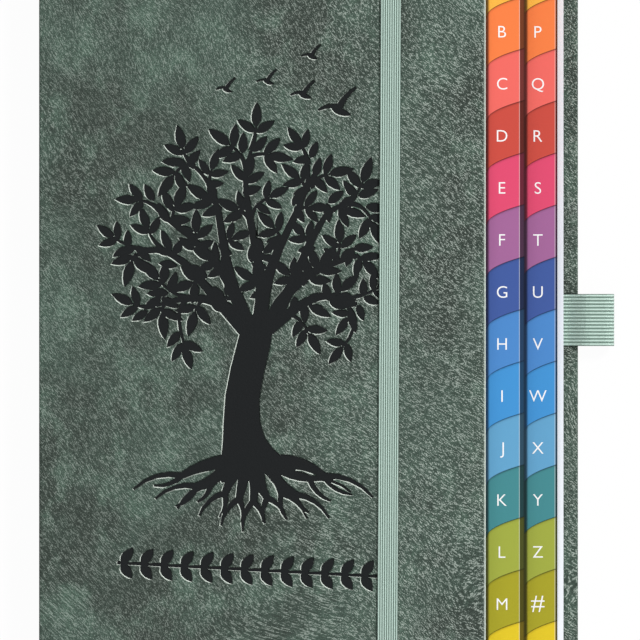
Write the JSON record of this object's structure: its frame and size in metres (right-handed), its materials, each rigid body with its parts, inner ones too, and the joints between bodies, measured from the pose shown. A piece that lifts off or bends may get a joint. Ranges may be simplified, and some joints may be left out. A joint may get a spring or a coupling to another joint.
{
  "type": "address book",
  "caption": "Hard-cover address book with a pressed tree on grey-green leathercloth, two stepped columns of coloured index tabs, an elastic closure and a pen loop.",
  "frame": {"origin": "the centre of the back cover's outer face", "axes": "+X from the spine to the fore-edge, +Y to the head, +Z out of the front cover"},
  "size_m": [0.158, 0.2118, 0.019],
  "materials": {
    "leathercloth": "grey-green grained leathercloth, satin, with pressed parts near black",
    "greyboard": "plain grey binder's board",
    "endpaper": "plain uncoated paper",
    "pages": "uncoated white paper with fine page edges",
    "elastic": "ribbed pale green woven elastic",
    "lining": "open-weave spine gauze",
    "band": "striped woven band",
    "tab_colour_01": "printed tab paper with a clear laminated edge",
    "tab_colour_02": "printed tab paper with a clear laminated edge",
    "tab_colour_03": "printed tab paper with a clear laminated edge",
    "tab_colour_04": "printed tab paper with a clear laminated edge",
    "tab_colour_05": "printed tab paper with a clear laminated edge",
    "tab_colour_06": "printed tab paper with a clear laminated edge",
    "tab_colour_07": "printed tab paper with a clear laminated edge",
    "tab_colour_08": "printed tab paper with a clear laminated edge",
    "tab_colour_09": "printed tab paper with a clear laminated edge",
    "tab_colour_10": "printed tab paper with a clear laminated edge",
    "tab_colour_11": "printed tab paper with a clear laminated edge",
    "tab_colour_12": "printed tab paper with a clear laminated edge",
    "tab_colour_13": "printed tab paper with a clear laminated edge",
    "tab_colour_14": "printed tab paper with a clear laminated edge"
  },
  "bodies": {
    "text_block": {"spine_skin": "leathercloth", "spine_board": "greyboard", "spine_lining": "lining", "head_band": "band", "tail_band": "band", "page_block": "pages", "tab_a": "tab_colour_01", "tab_b": "tab_colour_02", "tab_c": "tab_colour_03", "tab_d": "tab_colour_04", "tab_e": "tab_colour_05", "tab_f": "tab_colour_06", "tab_g": "tab_colour_07", "tab_h": "tab_colour_08", "tab_i": "tab_colour_09", "tab_j": "tab_colour_10", "tab_k": "tab_colour_11", "tab_l": "tab_colour_12", "tab_m": "tab_colour_13", "tab_n": "tab_colour_14", "tab_o": "tab_colour_01", "tab_p": "tab_colour_02", "tab_q": "tab_colour_03", "tab_r": "tab_colour_04", "tab_s": "tab_colour_05", "tab_t": "tab_colour_06", "tab_u": "tab_colour_07", "tab_v": "tab_colour_08", "tab_w": "tab_colour_09", "tab_x": "tab_colour_10", "tab_y": "tab_colour_11", "tab_z": "tab_colour_12", "tab_number": "tab_colour_13", "tab_last": "tab_colour_14"},
    "front_cover": {"front_cover_skin": "leathercloth", "front_board": "greyboard", "front_endpaper": "endpaper"},
    "back_cover": {"back_cover_skin": "leathercloth", "back_board": "greyboard", "back_endpaper": "endpaper", "elastic_strap": "elastic", "pen_loop": "elastic"}
  },
  "joints": [
    {"name": "front_cover_hinge", "type": "hinge", "parent": "text_block", "child": "front_cover", "pos_m": [-0.07415, 0, 0.01511], "axis": [0, -1, 0], "range_deg": [0, 180]},
    {"name": "back_cover_hinge", "type": "hinge", "parent": "text_block", "child": "back_cover", "pos_m": [-0.07415, 0, 0.00295], "axis": [0, 1, 0], "range_deg": [0, 180], "deforming": ["elastic_strap"]}
  ]
}
